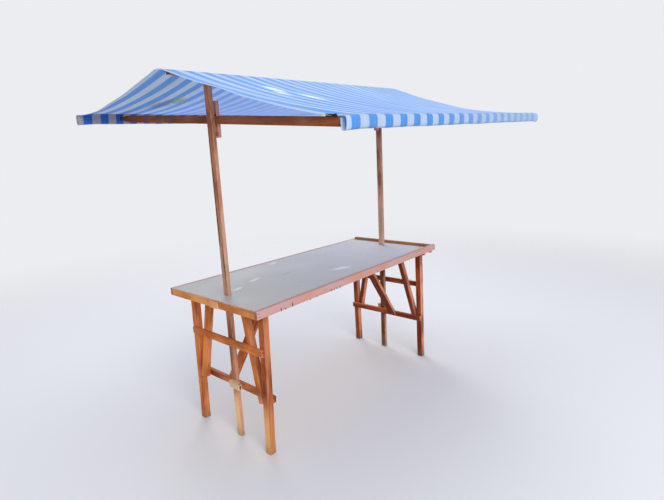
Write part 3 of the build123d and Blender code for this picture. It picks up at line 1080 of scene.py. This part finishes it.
# %% The cloth as one grid
columns = 158
across = [cloth_across * k / (columns - 1) for k in range(columns)]
lengths = [0.0]
middle_thread = [cloth_point(cloth_across / 2, step) for step in path]
for before, after in zip(middle_thread, middle_thread[1:]):
    lengths.append(lengths[-1] + (after - before).length)
points, cut = [], []
for step, along_place in zip(path, lengths):
    for u in across:
        points.append(cloth_point(u, step) + table_middle)
        cut += [u, along_place, 0.0]
faces = [(k, k + 1, k + columns + 1, k + columns)
         for r in range(len(path) - 1) for k in range(r * columns, (r + 1) * columns - 1)]
cloth_mesh = bpy.data.meshes.new("striped_roof_cloth")
cloth_mesh.from_pydata(points, [], faces)
paint(cloth_mesh, "cut", "FLOAT_VECTOR", cut)
cloth = hung("striped_roof_cloth", cloth_mesh)
skin = cloth.modifiers.new("two sides", "SOLIDIFY")
skin.thickness = cloth_skin
skin.offset = 0.0
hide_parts("cloth_roof")

# %% [markdown]
# ## Striped awning cloth
# The cloth is woven, not printed: blue and white yarns lie side by side in the warp, so the
# stripes are the same on both faces and their edges are a thread wide. Thin awning cloth
# also lets daylight through, and that is why its underside glows. The material does both:
# a sine of the place across the cut draws the stripes, two finer sines raise the weave, and
# a Translucent shader is mixed in beside the Principled one. Over the stripes lie painted
# light on the underside, with painted shade on its left part, painted light on the upper
# faces and on the street faces at the right, and painted shade on the back hem. The stripes
# also grow paler towards the right end, where they are weakest.

# %% Striped cloth material
stripe_pair = 0.1096
first_stripe = 0.0285
last_white = 2.060
thread_pitch = 0.0011
daylight_share = 0.44


def along_cut(y):
    """How far along the flat cut a place on the middle thread lies, from its y."""
    rows = [k for k, step in enumerate(path) if step[0] == "slope"]
    return lengths[min(rows, key=lambda k: abs(middle_thread[k].y - y))]


def on_cut(u, y):
    return (u, along_cut(y), 0.0)


hem_start = along_cut(eave_y["back"])
glare_spots = [(on_cut(0.46, -0.23), (0.060, 0.085, 1.0)), (on_cut(0.567, -0.34), (0.052, 0.105, 1.0)),
               (on_cut(0.40, -0.30), (0.036, 0.070, 1.0))]
# an olive patch on the underside, and beside it a bluish painted shadow
patch_and_shadow = [(on_cut(0.432, 0.445), (0.105, 0.095, 1.0), 0.62, mixed(172, 190, 164)),
          (on_cut(0.375, 0.55), (0.085, 0.150, 1.0), 0.6, mixed(128, 148, 190))]


def striped_cloth(name):
    material, tree, shader = new_material(name)
    cut_place = painted_value(tree, "cut", "Vector")
    u, v, _ = parts_of(tree, cut_place)
    looks = place_group(tree, facing)
    grime_and_light = place_group(tree, dirt_and_light, Place=place_on(tree), Splash_Height=no_splash)
    yarn = cloudy(tree, cut_place, (900.0, 14.0, 1.0))
    turn = times(tree, sums(tree, "SUBTRACT", u, first_stripe), 2 * math.pi / stripe_pair)
    fuzz = times(tree, sums(tree, "SUBTRACT", yarn, 0.5), 0.06)
    wave = sums(tree, "ADD", sums(tree, "SINE", turn), fuzz)
    blue_share = times(tree, remap(tree, wave, -0.035, 0.035), sums(tree, "LESS_THAN", u, last_white))
    streaks = remap(tree, cloudy(tree, cut_place, (160.0, 2.0, 1.0), 3.0), 0.3, 0.7)
    blue = blend_colour(tree, streaks, mixed(92, 170, 244), mixed(112, 186, 252))
    white = blend_colour(tree, streaks, mixed(210, 226, 250), mixed(222, 236, 255))
    open_side = sums(tree, "ADD", looks["Up"], looks["Street"], clamp=True)
    inner = sums(tree, "SUBTRACT", 1.0, open_side)
    drift = remap(tree, cloudy(tree, cut_place, (5.0, 1.3, 1.0), 3.0), 0.35, 0.7)
    # coats: paler towards the right end; painted light on the underside; painted sky light on the street
    # faces at the right; painted light on the upper faces
    colour = coats(tree, blend_colour(tree, blue_share, white, blue), [
        (remap(tree, u, 0.40, 1.90), 0.52, mixed(204, 230, 255)),
        (inner, remap(tree, u, 0.35, 0.80, 0.26, 0.55), mixed(192, 213, 250)),
        (looks["Street"], remap(tree, u, 0.70, 1.90, 0.0, 0.27), mixed(206, 238, 255)),
        (looks["Up"], sums(tree, "MULTIPLY_ADD", drift, 0.36, 0.24), mixed(154, 193, 236)),
    ])
    # painted shade on the underside's left part
    underside_shade = times(tree, inner, remap(tree, u, 0.20, 0.70, 1.0, 0.0))
    colour = blend_colour(tree, underside_shade, colour, mixed(253, 248, 238), "MULTIPLY")
    # painted shade on the back hem
    hem_shade = blend_colour(tree, blue_share, mixed(190, 184, 188), mixed(42, 116, 222))
    colour = coats(tree, colour, [
        (remap(tree, v, hem_start - 0.01, hem_start + 0.01), 0.85, hem_shade),
        *((spot_mask(tree, cut_place, middle, reach), looks["Up"], mixed(246, 255, 255))
          for middle, reach in glare_spots),
        (grime_and_light["Dust"], 0.10, mixed(176, 178, 184)),
        *((spot_mask(tree, cut_place, middle, reach), strength, tint)
          for middle, reach, strength, tint in patch_and_shadow),
    ])
    warp, weft = (sums(tree, "SINE", times(tree, way, 2 * math.pi / thread_pitch)) for way in (u, v))
    weave = sums(tree, "MULTIPLY_ADD", yarn, 0.8, times(tree, warp, weft))
    fill(tree, shader, Base_Color=colour, Roughness=remap(tree, yarn, 0.3, 0.7, 0.72, 0.9),
         Specular_IOR_Level=0.25, Sheen_Weight=0.12)
    surface = raise_surface(tree, shader, weave, 0.25, 0.0005)
    through = put(tree, "ShaderNodeBsdfTranslucent", Color=colour, Normal=surface)
    both = two_shaders(tree, daylight_share, shader.outputs[0], through)
    fill(tree, tree.nodes["Material Output"], Surface=both)
    return material


finish_in(cloth, striped_cloth("striped_awning_cloth"))
print("stripes:", int((last_white - first_stripe) / stripe_pair) + 1, "blue on white")

# %% [markdown]
# ## The seams
# Each sleeve is closed by one row of stout white thread. Its stitches show on top of the
# slope as short dashes, so each is a small stitch lying on the cloth, half sunk. A line
# in the shader could show them too, but real ones catch the light. Each row is one piece
# that belongs to the cloth.

# %% Seam stitches
stitch_pitch, stitch_length = 0.0065, 0.0042
seam_end = 0.005


def stitch(shape, start, end, up, half=0.0005):
    """A small block of thread from start to end, half sunk and narrower on top."""
    side = (end - start).cross(up).normalized() * half
    low = [p - up * half * 0.4 for p in (start - side, start + side, end + side, end - side)]
    a, b = start.lerp(end, 0.2), start.lerp(end, 0.8)
    high = [p + up * half * 0.9
            for p in (a - side * 0.5, a + side * 0.5, b + side * 0.5, b - side * 0.5)]
    skinned(shape, [[shape.verts.new(p) for p in ring] for ring in (low, high)])


def seam(name, side, count):
    """A row of stitches along one slope, level with the sewn end below it."""
    shape = bmesh.new()
    y_in = abs(eave_y[side]) - seam_in
    for k in range(count):
        u = seam_end + k * stitch_pitch
        a, b, c = (cloth_point(u + along, ("slope", side, y_in + down, 0.0)) + table_middle
                   for along, down in ((0.0, 0.0), (stitch_length, 0.0), (0.0, 0.004)))
        up = (b - a).cross(c - a).normalized()
        up = up if up.z > 0 else -up
        lift = up * (cloth_skin / 2)
        stitch(shape, a + lift, b + lift, up)
    return hung(name, settled(name, shape))


def sewing_thread(name):
    material, tree, shader = new_material(name)
    twist = cloudy(tree, place_on(tree), 900.0)
    fill(tree, shader, Base_Color=blend_colour(tree, twist, mixed(196, 198, 206), mixed(232, 232, 236)),
         Roughness=remap(tree, twist, 0.3, 0.7, 0.65, 0.9))
    return material


thread = sewing_thread("sewing_thread")
stitches = int((cloth_across - 2 * seam_end) / stitch_pitch)
seams = [seam(f"{side}_sleeve_seam", side, stitches) for side in ("front", "back")]
for piece in seams:
    finish_in(piece, thread)
print("two seams of", stitches, "stitches")

# %% [markdown]
# ## Wire ties
# The crossbars' ends are lashed to the cloth's hems with whatever wire was at hand. It is
# wound round the bar or left as a tangle on top. Each tie is a thin round tube drawn along
# a curve through a few points, so it keeps the springy look of bent wire. Two bent nails
# hold the left cleat.

# %% Wire helper and the ties
bar_half_deep, tip_half_deep = 0.019, 0.0075
thin_wire, stout_wire, thick_wire = 0.0008, 0.0013, 0.0015
front_pitch, back_pitch = 0.0028, 0.0035
tangle_middle, tangle_reach, tangle_bulge = 0.031, 0.029, 0.016
nail_lifts = (0.008, 0.018)


def wire(shape, points, radius, sides=6):
    """A thin round tube along a smooth curve through points."""
    curve = smooth_through(points, radius * 3)
    rings = []
    side = (curve[1] - curve[0]).orthogonal().normalized()
    for k, spot in enumerate(curve):
        along = (curve[min(k + 1, len(curve) - 1)] - curve[max(k - 1, 0)]).normalized()
        side = (side - along * side.dot(along)).normalized()
        rings.append(ring_of(shape, spot, side, along.cross(side), radius, sides))
    skinned(shape, rings)


def joined_piece(name, shape, material):
    """Make one piece of everything in a shape, with all its faces looking outwards."""
    bmesh.ops.recalc_face_normals(shape, faces=shape.faces)
    finish_in(hung(name, settled(name, shape)), material)


def wound(bar, y, turns, pitch, half_deep, radius):
    """Points of a wire wound round a crossbar, close to its four faces."""
    low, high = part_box(bar)
    middle_x, half_wide = (low[0] + high[0]) / 2, (high[0] - low[0]) / 2
    points = []
    for k in range(8 * turns + 1):
        a = 2 * math.pi * k / 8
        reach = 1.0 / max(abs(math.cos(a)), abs(math.sin(a))) ** 0.9
        spot_y = y + pitch * k / 8
        points.append((middle_x + math.cos(a) * reach * (half_wide + radius), spot_y,
                       line_height(bar, 1, spot_y) + math.sin(a) * reach * (half_deep + radius)))
    return points


def tangle(bar, chance, count=60):
    """Points of a loose wire that wanders over a crossbar's front end."""
    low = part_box(bar)[0]
    points = []
    for k in range(count):
        y = low[1] + tangle_middle + tangle_reach * math.sin(k * 2.3) + chance.uniform(-0.002, 0.002)
        outside = 0.5 - 0.5 * math.cos(k * 1.7)
        x = low[0] + 0.012 - tangle_bulge * outside
        lift = 0.002 + chance.uniform(-0.004, 0.008) * outside ** 2 if outside > 0.7 else 0.002
        points.append((x, y, line_height(bar, 1, y) + bar_half_deep + 0.0005 + lift))
    return points


shape = bmesh.new()
for side in ("left", "right"):
    bar = f"{side}_crossbar"
    front_y, back_y = face_of(bar, 1, -1), face_of(bar, 1, 1)
    if side == "left":
        wire(shape, tangle(bar, random.Random("ties")), thick_wire)
    else:
        wire(shape, wound(bar, front_y + 0.004, 3, front_pitch, bar_half_deep, thin_wire), thin_wire)
    wire(shape, wound(bar, back_y - 0.020, 4, back_pitch, tip_half_deep, stout_wire), stout_wire)
cleat_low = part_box("left_mast_cleat")[0]
mast_low, mast_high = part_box("left_mast")
for lift in nail_lifts:
    z = cleat_low[2] + lift
    wire(shape, [(mast_high[0] - 0.004, mast_low[1] - 0.0005, z + 0.004),
                 (mast_high[0] + 0.012, mast_low[1] - 0.0035, z + 0.001),
                 (cleat_low[0] + 0.006, cleat_low[1] + 0.002, z)], stout_wire)
joined_piece("wire_ties", shape, rusty_wire)
print("wire ties on both crossbars")

# %% [markdown]
# ## Cracks and torn fibres
# A few marks catch the eye: a long drying crack in the left mast, a dark waney line where
# the lath still has the outside of the tree, and torn fibres along the front rail's lower
# edge, where it is dragged over kerbs. Each is a thin tapering sliver that lies on the face.

# %% Slivers and the cracks in the left mast
def sliver(shape, points, half_width, out, lift=0.0013, sunk=0.0004):
    """A strip through points on a face, widest in the middle and pointed at both ends."""
    rings = []
    points = [Vector(spot) for spot in points]
    last = len(points) - 1
    for k, spot in enumerate(points):
        along = (points[min(k + 1, last)] - points[max(k - 1, 0)]).normalized()
        half = half_width * (0.15 + max(0.0, math.sin(math.pi * k / last)) ** 0.7)
        side = out.cross(along).normalized() * half
        corners = (spot - side - out * sunk, spot + out * lift, spot + side - out * sunk)
        rings.append([shape.verts.new(c) for c in corners])
    skinned(shape, rings)


def dark_split_and_shade(name, pale, deep):
    material, tree, shader = new_material(name)
    torn = remap(tree, cloudy(tree, place_on(tree), (90.0, 90.0, 30.0), 3.0, 0.7), 0.35, 0.65)
    fill(tree, shader, Base_Color=blend_colour(tree, torn, pale, deep),
         Roughness=remap(tree, torn, 0.0, 1.0, 0.75, 0.95), Specular_IOR_Level=0.05)
    return material


def down_the_mast(y_share, top_z, low_z, sway, count=14):
    """Points down the mast's left face, at a swaying share of its depth from the street."""
    points = []
    for k in range(count):
        z = top_z + (low_z - top_z) * k / (count - 1)
        share = y_share + sway * noise.noise(Vector((z * 6, 2.0, 0.0)))
        points.append((mast_low[0], mast_low[1] + (mast_high[1] - mast_low[1]) * share, z))
    return points


splits_and_shade = dark_split_and_shade("torn_wood_and_shade", mixed(96, 56, 26), mixed(48, 30, 20))
left_face, street = Vector((-1, 0, 0)), Vector((0, -1, 0))
cracks_down = [(0.30, 1.085, 0.850, 0.12, 0.0036), (0.86, 1.540, 1.290, 0.05, 0.0040),
               (0.78, 1.340, 1.060, 0.10, 0.0048), (0.88, 1.640, 1.500, 0.04, 0.0028)]
shape = bmesh.new()
for y_share, top_z, low_z, sway, half in cracks_down:
    sliver(shape, down_the_mast(y_share, top_z, low_z, sway), half, left_face)
joined_piece("mast_cracks", shape, splits_and_shade)
print(len(cracks_down), "cracks down the left mast")

# %% [markdown]
# ## A torn edge and painted shade on a block
# The front rail has lost small tufts of fibre along its lower edge, and a spot at the street
# end of the left mast's block lies in deep shade. Cutting the fibres out of the sawn solid
# would spoil its clean shape, so they are dark slivers too, upright ones that widen in the
# middle, and the shaded spot is one more, a sliver of painted shade.

# %% Torn edge of the front rail, and painted shade on the block
rail_half_deep = 0.020
below_edge = 0.003
torn_places = [(-0.672, 0.019, 0.0022), (-0.645, 0.012, 0.0016), (-0.596, 0.024, 0.0024),
               (-0.470, 0.008, 0.0010), (-0.420, 0.011, 0.0016), (-0.305, 0.012, 0.0022),
               (-0.282, 0.008, 0.0018), (-0.258, 0.011, 0.0020), (-0.232, 0.012, 0.0018),
               (0.120, 0.010, 0.0012)]
shape = bmesh.new()
face_y = face_of("front_table_rail", 1, -1) - 0.0004
for x, height, half in torn_places:
    x += table_middle.x
    edge_z = line_height("front_table_rail", 0, x) - rail_half_deep - below_edge
    points = [(x + 0.002 * math.sin(k), face_y, edge_z + (height + below_edge) * k / 6)
              for k in range(7)]
    sliver(shape, points, half, street)
joined_piece("torn_rail_edge", shape, splits_and_shade)

# a dark sliver of painted shade where the block's street end lies in shade
shape = bmesh.new()
block_low, block_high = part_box("left_mast_block")
shade_strip_x = (block_low[0] + block_high[0]) / 2
shade_strip = [(shade_strip_x, block_low[1], block_low[2] + 0.001 + 0.027 * k / 6) for k in range(7)]
sliver(shape, shade_strip, (block_high[0] - block_low[0]) * 0.36, street, lift=0.0005)
joined_piece("block_end_shade", shape, splits_and_shade)
print("torn fibres and a knot hole laid on")

# %% [markdown]
# ## Floor and world
# The stall stands on a plain pale floor under soft studio light, and the pale world fills
# the shadows. The world shows itself to the camera as plain white, through Light Path, so
# the background is pale without more light on the stall. Far out the floor turns clear,
# because the edge of a floor that just ends would draw a line behind the stall.

# %% World and floor
floor_half = 30.0
floor_fades = (2.2, 6.5)


def pale_world(light_strength, seen_strength):
    world = bpy.data.worlds.new("studio")
    world.use_nodes = True
    tree = world.node_tree
    tree.nodes.clear()
    lit = put(tree, "ShaderNodeBackground", Color=mixed(236, 240, 250), Strength=light_strength)
    seen = put(tree, "ShaderNodeBackground", Color=mixed(236, 237, 240), Strength=seen_strength)
    ray = put(tree, "ShaderNodeLightPath").node.outputs
    shown = sums(tree, "MAXIMUM", ray["Is Camera Ray"], ray["Is Glossy Ray"])
    fill(tree, tree.nodes.new("ShaderNodeOutputWorld"), Surface=two_shaders(tree, shown, lit, seen))
    return world


def pale_floor(name):
    """Pale paint that turns clear far from the stall, where only the world is left."""
    material, tree, shader = new_material(name)
    fill(tree, shader, Base_Color=mixed(222, 222, 224), Roughness=0.9, Specular_IOR_Level=0.1)
    far = remap(tree, vectors(tree, "LENGTH", place_on(tree)), *floor_fades)
    clear = put(tree, "ShaderNodeBsdfTransparent")
    fill(tree, tree.nodes["Material Output"],
         Surface=two_shaders(tree, far, shader.outputs[0], clear))
    return material


bpy.context.scene.world = pale_world(0.66, 1.0)
corners = [(x * floor_half, y * floor_half, 0) for x, y in ((-1, -1), (1, -1), (1, 1), (-1, 1))]
floor_mesh = bpy.data.meshes.new("floor")
floor_mesh.from_pydata(corners, [], [(0, 1, 2, 3)])
floor = bpy.data.objects.new("floor", floor_mesh)
bpy.context.collection.objects.link(floor)
floor_mesh.materials.append(pale_floor("pale_floor"))
print("floor", 2 * floor_half, "m square")

# %% [markdown]
# ## Lamps and camera
# Round area lamps give soft shadows like those under open sky, and a sun lamp would cut
# them hard. A wide one up in front on the left stands for the sky over the street, a weaker
# one behind lifts the edges, and one above lights the cloth. Each looks at the middle of
# the stall. The camera is 1.5 m up, in front of the left end, and its three directions are
# written out, because it leans a little, as a camera held in the hand does.

# %% Lamps and camera
stall_middle = Vector((0.0, 0.0, 1.0))
lamps = {"sky_in_front": ((-2.9, -5.6, 3.3), 4.5, 265), "sky_behind": ((3.0, 5.0, 5.0), 4.0, 150),
         "sky_above": ((0.6, 0.8, 5.6), 4.5, 90)}
camera_place = table_middle + Vector((-2.096, -1.976, 1.505))


def soft_lamp(name, place, size, power):
    lamp = bpy.data.lights.new(name, "AREA")
    lamp.shape = "DISK"
    lamp.size = size
    lamp.energy = power
    made = bpy.data.objects.new(name, lamp)
    made.location = place
    made.rotation_mode = "QUATERNION"
    made.rotation_quaternion = (stall_middle - Vector(place)).to_track_quat("-Z", "Y")
    bpy.context.collection.objects.link(made)


for name, (place, size, power) in lamps.items():
    soft_lamp(name, place, size, power)
lens = bpy.data.cameras.new("camera")
lens.lens = 25.25
lens.sensor_width = 36.0
camera = bpy.data.objects.new("camera", lens)
bpy.context.collection.objects.link(camera)
to_right = Vector((0.6551, -0.7540, -0.0479))
to_top = Vector((0.1855, 0.0991, 0.9776))
look = Vector((0.7324, 0.6493, -0.2048))
turned = Matrix((to_right, to_top, -look)).transposed().to_4x4()
camera.matrix_world = Matrix.Translation(camera_place) @ turned
bpy.context.scene.camera = camera
print("camera stands", round((camera_place - stall_middle).length, 2), "m off")
